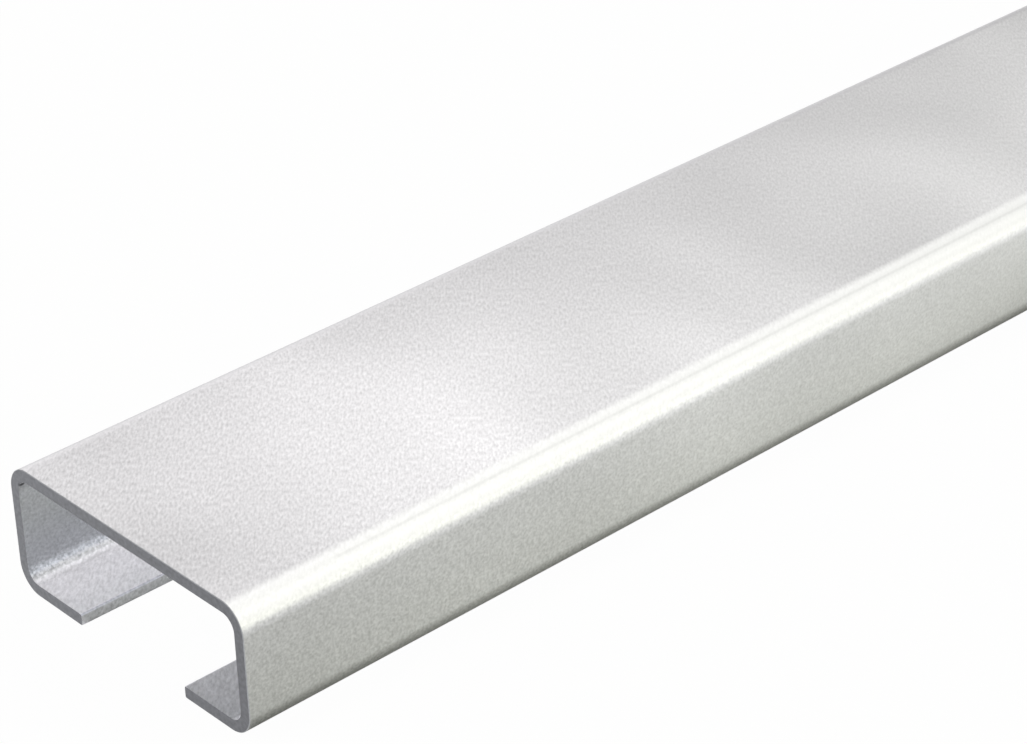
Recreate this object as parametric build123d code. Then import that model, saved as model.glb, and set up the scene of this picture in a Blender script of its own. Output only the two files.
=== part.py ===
"""Lipped channel: one piece of aluminium strip, folded to a flat web with a flange down each side and a lip
turned in at the foot of each flange. An open slot runs between the two lips for the whole length.

The frame: X across the channel, Y along it, Z up. The origin is on the floor under the middle of the bar,
which lies on its lips with the web on top. All sizes are in millimetres.
"""

from build123d import *
import os

# Driving sizes
length = 1000.0  # the bar as sawn to a stock length
width = 40.0  # over the two flanges
height = 16.0  # from the feet of the lips to the top of the web
lip = 11.0  # each lip, from the outside of its flange to its tip
wall = 1.5  # thickness of the strip, the same all the way round
inside_bend_radius = 1.7  # of all four folds
tip_round = 0.25  # corners of the slit edges, at the tips of the lips
end_break = 0.15  # chamfer where the burr is taken off the sawn ends

# Sizes that follow from them
half_width = width / 2
slot_half = half_width - lip  # from the middle of the slot to the tip of a lip
outside_bend_radius = inside_bend_radius + wall


def strip_section():
    """The folded strip seen from its end: its outer face from tip to tip, thickened inwards by the wall."""
    with BuildSketch(Plane.XZ) as section:
        with BuildLine():
            outer_face = FilletPolyline(
                (-slot_half, 0),
                (-half_width, 0),
                (-half_width, height),
                (half_width, height),
                (half_width, 0),
                (slot_half, 0),
                radius=outside_bend_radius,
            )
            offset(outer_face, amount=-wall, side=Side.RIGHT)
        make_face()
        slit_corners = [corner for corner in section.vertices() if abs(corner.X) < slot_half + tip_round]
        fillet(slit_corners, radius=tip_round)
    return section.sketch


def channel_bar():
    """The section drawn out to both sawn ends, each with its burr taken off."""
    section = strip_section()
    with BuildPart() as bar:
        extrude(section, amount=length / 2, both=True)
        sawn_ends = bar.faces().filter_by(GeomType.PLANE).filter_by(Axis.Y)
        chamfer(sawn_ends.edges(), length=end_break)
    return bar.part


os.makedirs("parts", exist_ok=True)
export_step(channel_bar(), "parts/lipped_channel.step")
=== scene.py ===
"""A length of lipped aluminium channel on a pale studio floor. Metres, in the CAD model's own frame."""
import math

import bpy
from mathutils import Matrix, Vector


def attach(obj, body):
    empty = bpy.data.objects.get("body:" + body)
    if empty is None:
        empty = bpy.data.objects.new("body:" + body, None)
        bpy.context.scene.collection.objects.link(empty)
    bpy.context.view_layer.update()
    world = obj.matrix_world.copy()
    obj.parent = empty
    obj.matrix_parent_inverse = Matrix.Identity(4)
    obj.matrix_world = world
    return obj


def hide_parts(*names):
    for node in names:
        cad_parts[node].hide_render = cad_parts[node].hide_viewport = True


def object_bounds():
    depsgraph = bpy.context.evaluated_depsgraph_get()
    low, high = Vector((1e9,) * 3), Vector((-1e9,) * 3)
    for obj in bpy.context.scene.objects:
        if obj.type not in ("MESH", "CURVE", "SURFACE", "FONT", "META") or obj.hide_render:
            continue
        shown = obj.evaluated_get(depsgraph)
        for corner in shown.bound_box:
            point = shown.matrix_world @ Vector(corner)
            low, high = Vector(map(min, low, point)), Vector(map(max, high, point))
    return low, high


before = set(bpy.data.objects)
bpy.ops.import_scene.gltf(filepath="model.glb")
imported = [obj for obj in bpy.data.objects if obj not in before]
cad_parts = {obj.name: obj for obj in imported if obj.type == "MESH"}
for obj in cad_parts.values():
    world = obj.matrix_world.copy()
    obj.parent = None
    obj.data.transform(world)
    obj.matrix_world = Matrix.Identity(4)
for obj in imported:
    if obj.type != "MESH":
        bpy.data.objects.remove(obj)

MM = 0.001
cad_low, cad_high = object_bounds()

# The folded strip: its outside from the frame, the rest as folded
half_width = cad_high.x
height = cad_high.z
half_length = cad_high.y
wall = 1.5 * MM
inside_bend = 1.7 * MM
outside_bend = inside_bend + wall
lip = 11 * MM
slot_half = half_width - lip
tip_round = 0.25 * MM
end_break = 0.08 * MM
end_break_inside = 0.05 * MM  # the file hardly reaches inside the channel
bend_steps = 24  # facets in each fold
tip_steps = 4  # facets in each rounded corner of a slit edge

# The centres of the right side's two folds, in the section
lower_fold = Vector((half_width - outside_bend, 0, outside_bend))
upper_fold = Vector((half_width - outside_bend, 0, height - outside_bend))

# Where the camera stands: solved from the bar's long edges and its cut end
camera_from_near_end = Vector((242.65, -159.97, 204.50)) * MM
camera_azimuth = 48.501
camera_elevation = 30.664
camera_roll = -1.812
camera_lens = 117.158  # in mm, on a sensor this wide
camera_sensor = 36
nearest_seen = 10 * MM
farthest_seen = 100


def linear(hex_colour):
    """An sRGB hex colour as the linear RGB that the shaders take."""
    values = [int(hex_colour[i:i + 2], 16) / 255 for i in (1, 3, 5)]
    return [v / 12.92 if v <= 0.04045 else ((v + 0.055) / 1.055) ** 2.4 for v in values]


def add(tree, kind, inputs=None, **settings):
    """Adds a node with its settings. Each input, named or by its place, takes a value, another node's first
    output, or a (node, output name) pair."""
    node = tree.nodes.new("ShaderNode" + kind)
    for name, value in settings.items():
        setattr(node, name, value)
    for name, value in (inputs or {}).items():
        sockets = [s for i, s in enumerate(node.inputs) if name in (i, s.identifier, s.name)]
        if isinstance(value, bpy.types.Node):
            tree.links.new(value.outputs[0], sockets[0])
        elif isinstance(value, tuple) and isinstance(value[0], bpy.types.Node):
            tree.links.new(value[0].outputs[value[1]], sockets[0])
        else:
            sockets[0].default_value = value
    return node


def new_material(name):
    """An empty node material, its tree and the place on the object that is being shaded."""
    material = bpy.data.materials.new(name)
    material.use_nodes = True
    tree = material.node_tree
    tree.nodes.clear()
    return material, tree, (add(tree, "TexCoord"), "Object")


# Finishes

rolled_colour = "#dbdbdd"
rolled_roughness = 0.40
# Painted light and shade: the rolled strip is drawn paler towards its right side and darker towards its left
rolled_painted_lean = 0.085  # the strip is a little paler towards its right side

# How the finish of the flats passes into that of the top folds, counted from where a fold starts: sideways
# from the web, and upwards from the flange
web_to_fold = (0, 1.0 * MM)
flange_to_fold = (0.8 * MM, 1.8 * MM)

# Soft patches, where the web is a little paler or darker. They are longer across the strip than
# along it. Their place in the noise was searched for, so that they lie much as they do on the real bar.
patch_pitch = Vector((44, 30, 7)) * MM
patch_place = (32.425, -29.016, 52.714)
patch_depth = 0.64

# The same on the flanges, where the patches are longer
flange_patch_pitch = Vector((60, 45, 30)) * MM
flange_patch_place = (-46.950, 81.861, 4.733)
flange_patch_depth = 0.76

# The pebbles of the rolled skin. They lie askew, and are longer one way than the other.
grain_pitch = Vector((0.27, 0.72, 0.34)) * MM
grain_skew = math.radians(48)
grain_height = 0.012 * MM
grain_depth = 0.76
grain_left_on_folds = 0.3  # the top folds are drawn smoother
grain_left_inwards = 0.55  # and the pebbles grow fainter over this stretch, counted from each end
grain_fades = (30 * MM, 120 * MM)

# Folding roughens the skin inside the lower folds to an orange peel
peel_pitch = 0.35 * MM
peel_depth = 1.5
peel_ends = (0.05 * MM, 0.25 * MM)  # how far off the fold's skin it begins to fade, and is gone
peel_left_at_lip = 0.2  # smoother again where the fold meets the lip
peel_above_lip = (0.1 * MM, 0.4 * MM)
peel_left_at_flange = 0.3  # and where it meets the flange
peel_below_flange = (-0.8 * MM, 0.1 * MM)

# Painted shade and highlights along the folds: a dark line this far round each top fold from the web,
# across its highlight, and paler and darker bands of painted highlight and shade inside the lower folds
fold_line_angle = 30
fold_line_width = 0.22 * MM
fold_line_shade = -0.07
fold_line_starts = (12.8 * MM, 32 * MM)  # from each end: nothing of it yet, and all of it
# Painted highlights and painted shade inside the lower folds, as paler and darker bands
painted_bands_inside = [
    # degrees up the lower fold from its lip, width, change of tone
    (8, 0.35 * MM, -0.10),
    (22, 0.35 * MM, 0.07),
    (36, 0.30 * MM, -0.23),
    (50, 0.32 * MM, 0.26),
    (70, 0.36 * MM, -0.20),
]
upper_fold_shade_width = 1.5 * MM  # painted shade inside each upper fold, where the hollow under the web lies in shade
upper_fold_painted_shade = -0.14
line_core = 0.33  # the share of a line's width that has its full change

sawn_colour = "#838489"
sawn_roughness = 0.50
# Painted light and shade: the cut end is drawn darker towards its right side and paler towards its left
sawn_painted_lean = -0.09  # the cut end is a little darker towards its right side
sawn_grain_pitch = 0.5 * MM
sawn_grain_height = 0.006 * MM
sawn_mottle = 0.20

filed_colour = "#afb1b5"
filed_roughness = 0.45
filed_grain_pitch = 0.3 * MM
filed_mottle = 0.15

slit_colour = "#dcdbe0"
slit_roughness = 0.42
slit_grain_pitch = 0.45 * MM
slit_grain_height = 0.015 * MM
slit_mottle = 0.25

# Painted shade: a dark spot inside the left top fold, just behind the near end, where its hollow lies in
# shade
corner_shade_place = Vector((-18.26, 0.30, 13.68)) * MM - Vector((0, half_length, 0))
corner_shade_radii = Vector((0.44, 0.52, 0.36)) * MM
corner_shade_tone = 0.16
corner_shade_core = 0.4  # the share of its radii that is darkest


def rolled_aluminium():
    """Mill finish aluminium, as it comes off the rolls: a pale silver-grey metal whose reflections are soft,
    broken up by a fine pebbled grain and clouded by soft patches."""
    material, tree, place = new_material("rolled_aluminium")
    mirrored = add(tree, "VectorMath", {0: place}, operation="ABSOLUTE")
    section = add(tree, "VectorMath", {0: mirrored, 1: (1, 0, 1)}, operation="MULTIPLY")
    on_web, on_flange, on_fold = flats_and_folds(tree, mirrored)
    grain = pebbles(tree, place)
    # The line inside each upper fold along which shade is painted
    shaded_fold_line = round_fold(upper_fold, inside_bend, 45)
    # Some of these tones are painted light and shade: the lean across the strip, the shade spot in the left
    # top fold, the shade line round each top fold, the shade inside each upper fold and the bands inside the
    # lower folds
    tones = [
        soft_patches(tree, place, patch_pitch, patch_place, patch_depth, on_web),
        soft_patches(tree, place, flange_patch_pitch, flange_patch_place, flange_patch_depth, on_flange),
        painted_lean_tone(tree, place, rolled_painted_lean),
        pebble_tone(tree, mirrored, grain, on_fold),
        peel_tone(tree, place, mirrored, section),
        corner_shade(tree, place),
        painted_fold_line(tree, mirrored, section),
        line_tone(tree, section, shaded_fold_line, upper_fold_shade_width, upper_fold_painted_shade),
    ]
    for angle, width, change in painted_bands_inside:
        painted_band = round_fold(lower_fold, inside_bend, 180 - angle)
        tones.append(line_tone(tree, section, painted_band, width, change))
    relief = add(tree, "Bump", {"Height": grain, "Distance": grain_height, "Strength": 1.0})
    bare_metal(tree, rolled_colour, tones, rolled_roughness, relief)
    return material


def sawn_aluminium():
    """A sawn end: duller and darker than the rolled faces, with a fine even grain."""
    material, tree, place = new_material("sawn_aluminium")
    grain = add(tree, "TexNoise", {"Vector": place, "Scale": 1 / sawn_grain_pitch, "Detail": 3.0})
    tones = [mottle(tree, grain, sawn_mottle), painted_lean_tone(tree, place, sawn_painted_lean), corner_shade(tree, place)]
    relief = add(tree, "Bump", {"Height": grain, "Distance": sawn_grain_height, "Strength": 1.0})
    bare_metal(tree, sawn_colour, tones, sawn_roughness, relief)
    return material


def filed_aluminium():
    """The edges of a sawn end, where a file took the burr off: between the rolled and the sawn tone."""
    material, tree, place = new_material("filed_aluminium")
    grain = add(tree, "TexNoise", {"Vector": place, "Scale": 1 / filed_grain_pitch, "Detail": 2.0})
    bare_metal(tree, filed_colour, [mottle(tree, grain, filed_mottle), corner_shade(tree, place)], filed_roughness)
    return material


def slit_aluminium():
    """The slit edge of the strip, at the tip of each lip: sheared, so rougher and more mottled."""
    material, tree, place = new_material("slit_aluminium")
    grain = add(tree, "TexNoise", {"Vector": place, "Scale": 1 / slit_grain_pitch, "Detail": 2.0})
    relief = add(tree, "Bump", {"Height": grain, "Distance": slit_grain_height, "Strength": 1.0})
    bare_metal(tree, slit_colour, [mottle(tree, grain, slit_mottle)], slit_roughness, relief)
    return material


def bare_metal(tree, colour, tones, roughness, relief=None):
    """Ends a material as bare metal, its colour made paler or darker by each of the tones."""
    toned = linear(colour)
    for tone in tones:
        toned = add(tree, "VectorMath", {0: toned, "Scale": tone}, operation="SCALE")
    inputs = {"Base Color": toned, "Metallic": 1.0, "Roughness": roughness}
    if relief is not None:
        inputs["Normal"] = relief
    add(tree, "OutputMaterial", {"Surface": add(tree, "BsdfPrincipled", inputs)})


# What the finishes are made of. A tone is 1 where it changes nothing, and more where the metal is paler. A
# mirrored place has no signs, because the bar's two sides are alike, and so are its ends.

def flats_and_folds(tree, mirrored):
    """How much of the web's, the flanges' and the top folds' finish a place has."""
    across = add(tree, "SeparateXYZ", {"Vector": mirrored})
    aside = add(tree, "MapRange", {
        "Value": (across, "X"),
        "From Min": upper_fold.x + web_to_fold[0], "From Max": upper_fold.x + web_to_fold[1]})
    above = add(tree, "MapRange", {
        "Value": (across, "Z"),
        "From Min": upper_fold.z + flange_to_fold[0], "From Max": upper_fold.z + flange_to_fold[1]})
    on_fold = add(tree, "Math", {0: aside, 1: above}, operation="MULTIPLY")
    on_web = add(tree, "Math", {0: above, 1: on_fold}, operation="SUBTRACT")
    on_flange = add(tree, "Math", {0: aside, 1: on_fold}, operation="SUBTRACT")
    return on_web, on_flange, on_fold


def noise_tone(tree, noise, depth):
    """A tone from noise, whose middle changes nothing."""
    swing = add(tree, "Math", {0: noise, 1: 0.5}, operation="SUBTRACT")
    return add(tree, "Math", {0: swing, 1: depth, 2: 1.0}, operation="MULTIPLY_ADD")


def mottle(tree, grain, spread):
    """A tone from a grain, held within that spread of 1."""
    return add(tree, "MapRange", {"Value": grain, "From Min": 0.25, "From Max": 0.75,
                                  "To Min": 1 - spread, "To Max": 1 + spread})


def soft_patches(tree, place, pitch, patches_at, depth, where):
    """The tone of large soft patches, only where there is some of that finish."""
    per_patch = [1 / size for size in pitch]
    at = add(tree, "Mapping", {"Vector": place, "Scale": per_patch, "Location": patches_at})
    patch = add(tree, "TexNoise", {"Vector": at, "Scale": 1.0, "Detail": 1.0})
    return noise_tone(tree, patch, add(tree, "Math", {0: where, 1: depth}, operation="MULTIPLY"))


def pebbles(tree, place):
    """The pebbled grain of the rolled skin."""
    at = add(tree, "Mapping", {"Vector": place, "Rotation": (0, 0, grain_skew)}, vector_type="TEXTURE")
    per_pebble = [1 / pitch for pitch in grain_pitch]
    at = add(tree, "VectorMath", {0: at, 1: per_pebble}, operation="MULTIPLY")
    return add(tree, "TexNoise", {"Vector": at, "Scale": 1.0, "Detail": 2.0})


def pebble_tone(tree, mirrored, grain, on_fold):
    """The tone of the pebbles, fainter on the top folds and away from the ends."""
    across = add(tree, "SeparateXYZ", {"Vector": mirrored})
    depth = add(tree, "MapRange", {"Value": on_fold, "To Min": grain_depth,
                                   "To Max": grain_left_on_folds * grain_depth})
    inwards = add(tree, "MapRange", {
        "Value": (across, "Y"),
        "From Min": half_length - grain_fades[1], "From Max": half_length - grain_fades[0],
        "To Min": grain_left_inwards, "To Max": 1.0})
    return noise_tone(tree, grain, add(tree, "Math", {0: depth, 1: inwards}, operation="MULTIPLY"))


def peel_tone(tree, place, mirrored, section):
    """The tone of the orange peel inside the lower folds."""
    across = add(tree, "SeparateXYZ", {"Vector": mirrored})
    peel = add(tree, "TexNoise", {"Vector": place, "Scale": 1 / peel_pitch, "Detail": 1.0})
    off = add(tree, "VectorMath", {0: section, 1: lower_fold}, operation="DISTANCE")
    depth = add(tree, "MapRange", {
        "Value": (off, "Value"),
        "From Min": inside_bend + peel_ends[0], "From Max": inside_bend + peel_ends[1],
        "To Min": peel_depth, "To Max": 0.0})
    above_lip = add(tree, "MapRange", {
        "Value": (across, "Z"),
        "From Min": wall + peel_above_lip[0], "From Max": wall + peel_above_lip[1],
        "To Min": peel_left_at_lip, "To Max": 1.0})
    below_flange = add(tree, "MapRange", {
        "Value": (across, "Z"),
        "From Min": lower_fold.z + peel_below_flange[0], "From Max": lower_fold.z + peel_below_flange[1],
        "To Min": 1.0, "To Max": peel_left_at_flange})
    for left in (above_lip, below_flange):
        depth = add(tree, "Math", {0: depth, 1: left}, operation="MULTIPLY")
    return noise_tone(tree, peel, depth)


def round_fold(centre, radius, angle):
    """The point of the section that many degrees round a fold, from straight up towards the right."""
    turn = math.radians(angle)
    return centre + radius * Vector((math.sin(turn), 0, math.cos(turn)))


def line_tone(tree, section, line, width, change):
    """The tone of a fine line along the bar, which changes it by that share."""
    off = add(tree, "VectorMath", {0: section, 1: line}, operation="DISTANCE")
    return add(tree, "MapRange", {"Value": (off, "Value"), "From Min": line_core * width, "From Max": width,
                                  "To Min": 1 + change, "To Max": 1.0})


def painted_fold_line(tree, mirrored, section):
    """The tone of the painted shade line round each top fold, which fades out towards the ends of the bar."""
    along = add(tree, "SeparateXYZ", {"Vector": mirrored})
    line = round_fold(upper_fold, outside_bend, fold_line_angle)
    darkened = line_tone(tree, section, line, fold_line_width, fold_line_shade)
    near_end = add(tree, "MapRange", {
        "Value": (along, "Y"),
        "From Min": half_length - fold_line_starts[1], "From Max": half_length - fold_line_starts[0]})
    return add(tree, "Math", {0: darkened, 1: near_end}, operation="MAXIMUM")


def corner_shade(tree, place):
    """The tone of the painted shade in the hollow of the left top fold, behind the near end."""
    off = add(tree, "VectorMath", {0: place, 1: corner_shade_place}, operation="SUBTRACT")
    off = add(tree, "VectorMath", {0: off, 1: corner_shade_radii}, operation="DIVIDE")
    off = add(tree, "VectorMath", {0: off}, operation="LENGTH")
    return add(tree, "MapRange", {"Value": (off, "Value"), "From Min": corner_shade_core, "From Max": 1.0,
                                  "To Min": corner_shade_tone, "To Max": 1.0})


def painted_lean_tone(tree, place, change):
    """A painted light and shade: a tone that rises steadily across the strip, by that share from its middle
    to its right side.
    """
    across = add(tree, "SeparateXYZ", {"Vector": place})
    return add(tree, "MapRange", {"Value": (across, "X"), "From Min": -half_width, "From Max": half_width,
                                  "To Min": 1 - change, "To Max": 1 + change})


# The bar

def corner(centre_x, centre_z, start, outer_radius, inner_radius, steps):
    """Rungs across the strip where it turns a right angle to the right, seen from the near end: each is an
    outer point, an inner point and the normal at the outer one."""
    rungs = []
    for i in range(steps + 1):
        angle = math.radians(start - 90 * i / steps)
        normal = Vector((math.cos(angle), 0, math.sin(angle)))
        centre = Vector((centre_x, 0, centre_z))
        rungs.append((centre + outer_radius * normal, centre + inner_radius * normal, normal))
    return rungs


def folds():
    """The four folds from the left lip round to the right one."""
    x, low, top = lower_fold.x, lower_fold.z, upper_fold.z
    rungs = []
    for centre_x, centre_z, start in ((-x, low, 270), (-x, top, 180), (x, top, 90), (x, low, 0)):
        rungs += corner(centre_x, centre_z, start, outside_bend, inside_bend, bend_steps)
    return rungs


def section_ring():
    """The section's outline as (point, normal, is slit) in order. The point i places from the start lies
    across the wall from the one i places from the end."""
    outer, inner = [], []
    for point, other, normal in folds():
        outer.append((point, normal, False))
        inner.append((other, -normal, False))
    left_tip = []
    for i in range(tip_steps + 1):
        angle = math.radians(90 * i / tip_steps)
        normal = Vector((math.cos(angle), 0, -math.sin(angle)))
        centre = Vector((-slot_half - tip_round, 0, tip_round))
        left_tip.append((centre + tip_round * normal, normal, True))
    mirror_x = Matrix.Diagonal((-1, 1, 1))
    right_tip = [(mirror_x @ p, mirror_x @ n, slit) for p, n, slit in reversed(left_tip)]
    lower = left_tip + outer + right_tip
    flip_z, lift = Matrix.Diagonal((1, 1, -1)), Vector((0, 0, wall))
    tips = [[(flip_z @ p + lift, flip_z @ n, slit) for p, n, slit in tip] for tip in (left_tip, right_tip)]
    upper = tips[0] + inner + tips[1]
    return lower + upper[::-1]


def channel_bar(rolled, sawn, filed, slit):
    """The section drawn out along the bar, with the burr taken off both sawn ends, as rows of quads."""
    ring = section_ring()
    count = len(ring)
    breaks = [end_break_inside if slit_edge or i >= count // 2 else end_break
              for i, (_, _, slit_edge) in enumerate(ring)]
    # Rings of points along the bar: where each lies, and whether it is drawn in by the burr taken off
    stations = [(-half_length, 1), (end_break - half_length, 0),
                (half_length - end_break, 0), (half_length, 1)]
    vertices = [point - broken * inset * normal + Vector((0, y, 0)) for y, broken in stations
                for (point, normal, _), inset in zip(ring, breaks)]
    faces, normals, finishes = [], [], []
    # The near end's filed edge, the long sides, and the far end's filed edge
    for row, outward in enumerate((-1, 0, 1)):
        lean = Vector((0, outward, 0))
        for i in range(count):
            j = (i + 1) % count
            faces.append([row * count + k for k in (i, j)] + [(row + 1) * count + k for k in (j, i)])
            edge = ring[i][2] and ring[j][2]
            broken = outward and breaks[i] == breaks[j] == end_break
            normals += [(ring[k][1] + lean * broken).normalized() for k in (i, j, j, i)]
            finishes.append(filed if broken else slit if edge else rolled)
    # The two sawn ends, from rung to rung across the wall
    for row, outward in ((0, -1), (3, 1)):
        for i in range(count // 2 - 1):
            rung = (i, count - 1 - i, count - 2 - i, i + 1)
            faces.append([row * count + k for k in (rung if outward < 0 else rung[::-1])])
            normals += [Vector((0, outward, 0))] * 4
            finishes.append(sawn)
    mesh = bpy.data.meshes.new("channel_bar")
    mesh.from_pydata(vertices, [], faces)
    kinds = (rolled, sawn, filed, slit)
    for finish in kinds:
        mesh.materials.append(finish)
    mesh.polygons.foreach_set("material_index", [kinds.index(finish) for finish in finishes])
    mesh.polygons.foreach_set("use_smooth", [True] * len(faces))
    mesh.normals_split_custom_set(normals)
    bar = bpy.data.objects.new("channel_bar", mesh)
    bpy.context.scene.collection.objects.link(bar)
    return bar


bar = channel_bar(rolled_aluminium(), sawn_aluminium(), filed_aluminium(), slit_aluminium())
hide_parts("lipped_channel")
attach(bar, "root")


# Studio

floor_colour = "#dcded6"
floor_size = 40  # far wider than anything seen
floor_white_seen = 0.98  # the share of plain white in the floor, as the camera sees it

# Painted light in the floor's reflections: the share of plain white glow in it as the metal shows it, off the
# ends of the bar, close beside the bar and further off, which lifts the bar's shadow there. Each pair of
# distances is from the bar's side.
floor_white_past_ends = 0.85
past_end_blend = 1 * MM
floor_white_beside = 0.15
beside_starts = (1 * MM, 4 * MM)
beside_ends = (1 * MM, 16 * MM)
floor_white_afar = 1.0
afar_starts = (2 * MM, 50 * MM)

# Painted shadow: the floor's colour is darker close under the lower folds, where light hardly gets in
floor_shadow_left = 0.5
shadow_strip_inwards = 2 * MM  # from the bar's side to the middle of the painted shadow
shadow_strip_ends = (2 * MM, 5 * MM)  # from that middle: shadowed as far as here, and clear from there


def studio_floor():
    """A pale sweep of floor, far wider than the bar. Part of its white stays where the bar shades it."""
    material, tree, place = new_material("pale_floor")
    mirrored = add(tree, "VectorMath", {0: place}, operation="ABSOLUTE")
    across = add(tree, "SeparateXYZ", {"Vector": mirrored})
    past_end = add(tree, "MapRange", {
        "Value": (across, "Y"), "From Min": half_length - past_end_blend, "From Max": half_length})
    lit = add(tree, "BsdfDiffuse", {"Color": floor_tone(tree, across, past_end)})
    white = add(tree, "Emission", {"Color": (1, 1, 1, 1), "Strength": 1.0})
    share = floor_white(tree, across, past_end)
    add(tree, "OutputMaterial", {"Surface": add(tree, "MixShader", {0: share, 1: lit, 2: white})})
    bpy.ops.mesh.primitive_plane_add(size=floor_size)
    floor = bpy.context.object
    floor.name = "studio_floor"
    floor.data.materials.append(material)


def floor_tone(tree, across, past_end):
    """The floor's colour, with a painted shadow close under the lower folds."""
    off = add(tree, "Math", {0: (across, "X"), 1: half_width - shadow_strip_inwards}, operation="SUBTRACT")
    off = add(tree, "Math", {0: off}, operation="ABSOLUTE")
    clear = add(tree, "MapRange", {
        "Value": off, "From Min": shadow_strip_ends[0], "From Max": shadow_strip_ends[1]})
    clear = add(tree, "Math", {0: clear, 1: past_end}, operation="MAXIMUM")
    clear = add(tree, "MapRange", {"Value": clear, "To Min": floor_shadow_left, "To Max": 1.0})
    return add(tree, "VectorMath", {0: linear(floor_colour), "Scale": clear}, operation="SCALE")


def floor_white(tree, across, past_end):
    """The share of plain white in the floor, as the camera and as the metal sees it; in the metal it is
    painted light that lifts the bar's shadow.
    """
    beside = add(tree, "MapRange", {
        "Value": (across, "X"),
        "From Min": half_width + beside_ends[0], "From Max": half_width + beside_ends[1],
        "To Min": floor_white_beside, "To Max": 0.0})
    clear = add(tree, "MapRange", {
        "Value": (across, "X"),
        "From Min": half_width + beside_starts[0], "From Max": half_width + beside_starts[1]})
    beside = add(tree, "Math", {0: beside, 1: clear}, operation="MULTIPLY")
    afar = add(tree, "MapRange", {
        "Value": (across, "X"),
        "From Min": half_width + afar_starts[0], "From Max": half_width + afar_starts[1],
        "To Min": 0.0, "To Max": floor_white_afar})
    shown = add(tree, "Math", {0: past_end, 1: floor_white_past_ends}, operation="MULTIPLY")
    for white in (beside, afar):
        shown = add(tree, "Math", {0: shown, 1: white}, operation="MAXIMUM")
    ray = add(tree, "LightPath")
    share = add(tree, "Math", {0: (ray, "Is Glossy Ray"), 1: shown}, operation="MULTIPLY")
    seen = add(tree, "Math", {0: (ray, "Is Camera Ray"), 1: (ray, "Is Transmission Ray")}, operation="ADD")
    return add(tree, "Math", {0: seen, 1: floor_white_seen, 2: share}, operation="MULTIPLY_ADD")


# Soft boxes round the bar: by their angle from overhead, positive to the right, and how far they lie along
# the bar, away from the camera. The last four stand behind it and show in the bar's other sides. The levels
# and tints of 18 of them were fitted by a solver to the tones of the real bar, and 8 of those were changed
# since. The second at -55, the one at 65 and the last four were set one by one.
soft_boxes = [
    # angle, along, reach in degrees, level, tint
    (-85, 22, 25, 0.39, (1.00, 0.99, 0.98)),
    (-70, 22, 25, 0.65, (1.00, 0.96, 0.97)),
    (-55, 22, 25, 0.27, (1.00, 0.96, 0.96)),
    (-55, 44, 25, 0.08, (1.00, 0.96, 0.96)),
    (-40, 22, 25, 0.19, (1.00, 0.97, 0.97)),
    (-25, 22, 25, 0.21, (1.00, 0.98, 0.99)),
    (-25, 44, 25, 0.51, (0.99, 1.00, 0.90)),
    (-10, 22, 25, 0.52, (1.00, 0.97, 0.96)),
    (-10, 44, 25, 0.31, (0.98, 1.00, 0.93)),
    (5, 22, 25, 0.47, (1.00, 1.00, 0.91)),
    (20, 22, 25, 0.35, (0.99, 1.00, 0.91)),
    (35, 22, 25, 0.47, (1.00, 0.98, 0.90)),
    (35, 44, 25, 0.58, (0.98, 1.00, 0.91)),
    (50, 22, 25, 0.53, (1.00, 0.99, 0.91)),
    (50, 44, 25, 0.33, (1.00, 1.00, 0.94)),
    (65, 22, 25, 0.15, (1.00, 1.00, 0.92)),
    (80, 22, 25, 0.29, (0.99, 1.00, 0.90)),
    (80, 44, 25, 0.19, (1.00, 1.00, 0.92)),
    (92, 22, 25, 1.23, (0.97, 1.00, 0.80)),
    (92, 44, 25, 0.76, (1.00, 1.00, 0.86)),
    (-66, -42, 36, 0.34, (1.00, 1.00, 0.98)),
    (-22, -42, 36, 0.34, (1.00, 1.00, 0.98)),
    (22, -42, 36, 0.34, (1.00, 1.00, 0.98)),
    (66, -42, 36, 0.34, (1.00, 1.00, 0.98)),
]
box_core = 4  # degrees from the middle of a box to where it begins to fade
tent_level = 0.4


def light_tent():
    """The world as a pale tent with soft boxes. A level of 1 is white. The camera sees it plain white."""
    world = bpy.data.worlds.new("light_tent")
    bpy.context.scene.world = world
    world.use_nodes = True
    tree = world.node_tree
    tree.nodes.clear()
    direction = (add(tree, "TexCoord"), "Generated")
    colour = add(tree, "CombineXYZ", {0: tent_level, 1: tent_level, 2: tent_level})
    for angle, along, reach, level, tint in soft_boxes:
        lean, lie = math.radians(angle), math.radians(along)
        aim = Vector((math.sin(lean) * math.cos(lie), math.sin(lie), math.cos(lean) * math.cos(lie)))
        near = add(tree, "VectorMath", {0: direction, 1: aim}, operation="DOT_PRODUCT")
        soft = add(tree, "MapRange", {
            "Value": (near, "Value"), "From Min": math.cos(math.radians(reach)),
            "From Max": math.cos(math.radians(box_core))}, interpolation_type="SMOOTHSTEP")
        light = level * Vector(tint)
        colour = add(tree, "VectorMath", {0: soft, 1: light, 2: colour}, operation="MULTIPLY_ADD")
    tent = add(tree, "Background", {"Color": colour, "Strength": 1.0})
    white = add(tree, "Background", {"Color": (1, 1, 1, 1), "Strength": 1.0})
    seen = add(tree, "MixShader", {0: (add(tree, "LightPath"), "Is Camera Ray"), 1: tent, 2: white})
    add(tree, "OutputWorld", {"Surface": seen})
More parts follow.
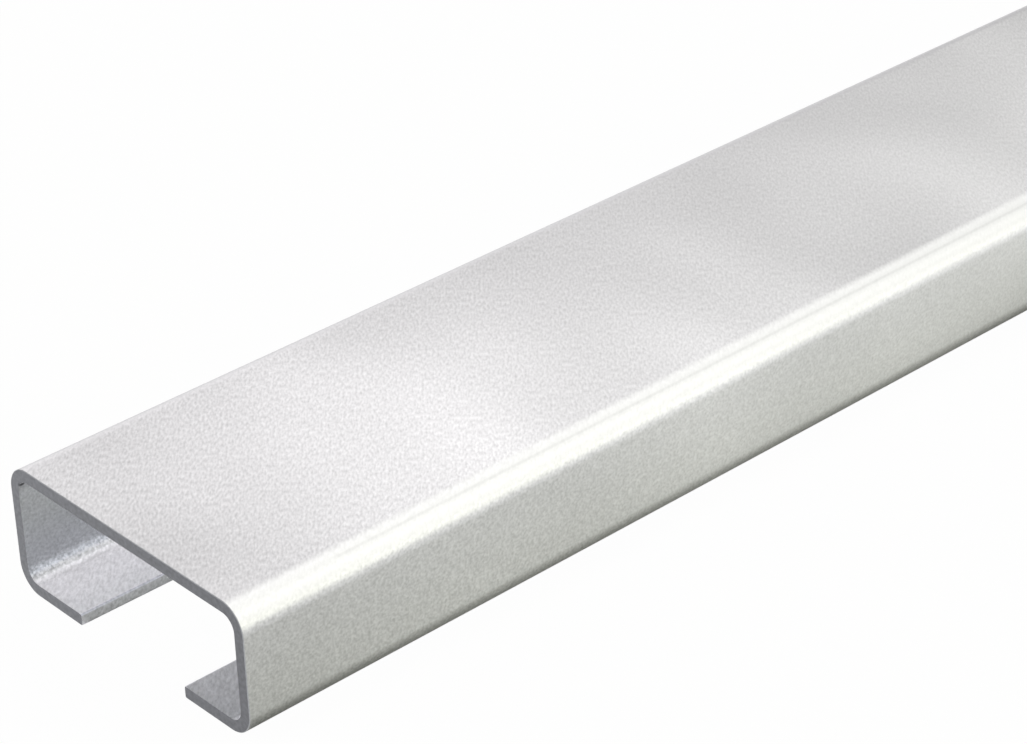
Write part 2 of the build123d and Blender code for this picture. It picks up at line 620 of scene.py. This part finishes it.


# Strip lamps close against the inner faces of the channel, from the same fit. The one under the web and the
# one on the right flange were changed since.
under_web = height - wall - 0.15 * MM
off_flange = half_width - wall - 0.2 * MM
inner_lamps = {
    # from x, z to x, z in the section; which way they face, in degrees; level; tint
    "lamp_under_web": (
        (-17 * MM, under_web), (-10 * MM, under_web), 0, 1.29, (1.00, 1.00, 1.00)),
    "lamp_on_left_flange": (
        (-off_flange, 2.5 * MM), (-off_flange, 7.5 * MM), -90, 0.51, (1.00, 0.95, 0.97)),
    "lamp_on_right_flange": (
        (off_flange, 2.5 * MM), (off_flange, 11.5 * MM), 90, 1.42, (0.93, 0.98, 1.05)),
}


def light_inside():
    """Lights the inside of the channel, which the tent hardly reaches. A lamp of level 1 looks white."""
    for name, (start, end, facing, level, tint) in inner_lamps.items():
        data = bpy.data.lights.new(name, "AREA")
        data.shape = "RECTANGLE"
        data.size = math.dist(start, end)
        data.size_y = 2 * half_length
        data.energy = level * math.pi * data.size * data.size_y
        data.color = tint
        lamp = bpy.data.objects.new(name, data)
        lamp.location = Vector((start[0] + end[0], 0, start[1] + end[1])) / 2
        lamp.rotation_euler.y = math.radians(facing)
        lamp.visible_camera = False
        bpy.context.scene.collection.objects.link(lamp)


def camera():
    """Looks along the bar from above its right flange, level apart from a slight roll."""
    azimuth, elevation = math.radians(camera_azimuth), math.radians(camera_elevation)
    back = Vector((math.sin(azimuth) * math.cos(elevation), -math.cos(azimuth) * math.cos(elevation),
                   math.sin(elevation)))
    level_right = Vector((0, 0, 1)).cross(back).normalized()
    level_up = back.cross(level_right)
    roll = math.radians(camera_roll)
    right = math.cos(roll) * level_right + math.sin(roll) * level_up
    up = back.cross(right)
    data = bpy.data.cameras.new("camera")
    data.lens = camera_lens
    data.sensor_width = camera_sensor
    data.clip_start = nearest_seen
    data.clip_end = farthest_seen
    view = bpy.data.objects.new("camera", data)
    near_end = Vector((0, -half_length, 0))
    turn = Matrix((right, up, back)).transposed().to_4x4()
    view.matrix_world = Matrix.Translation(near_end + camera_from_near_end) @ turn
    bpy.context.scene.collection.objects.link(view)
    bpy.context.scene.camera = view


studio_floor()
light_tent()
light_inside()
camera()
bpy.context.scene.view_settings.view_transform = "Standard"
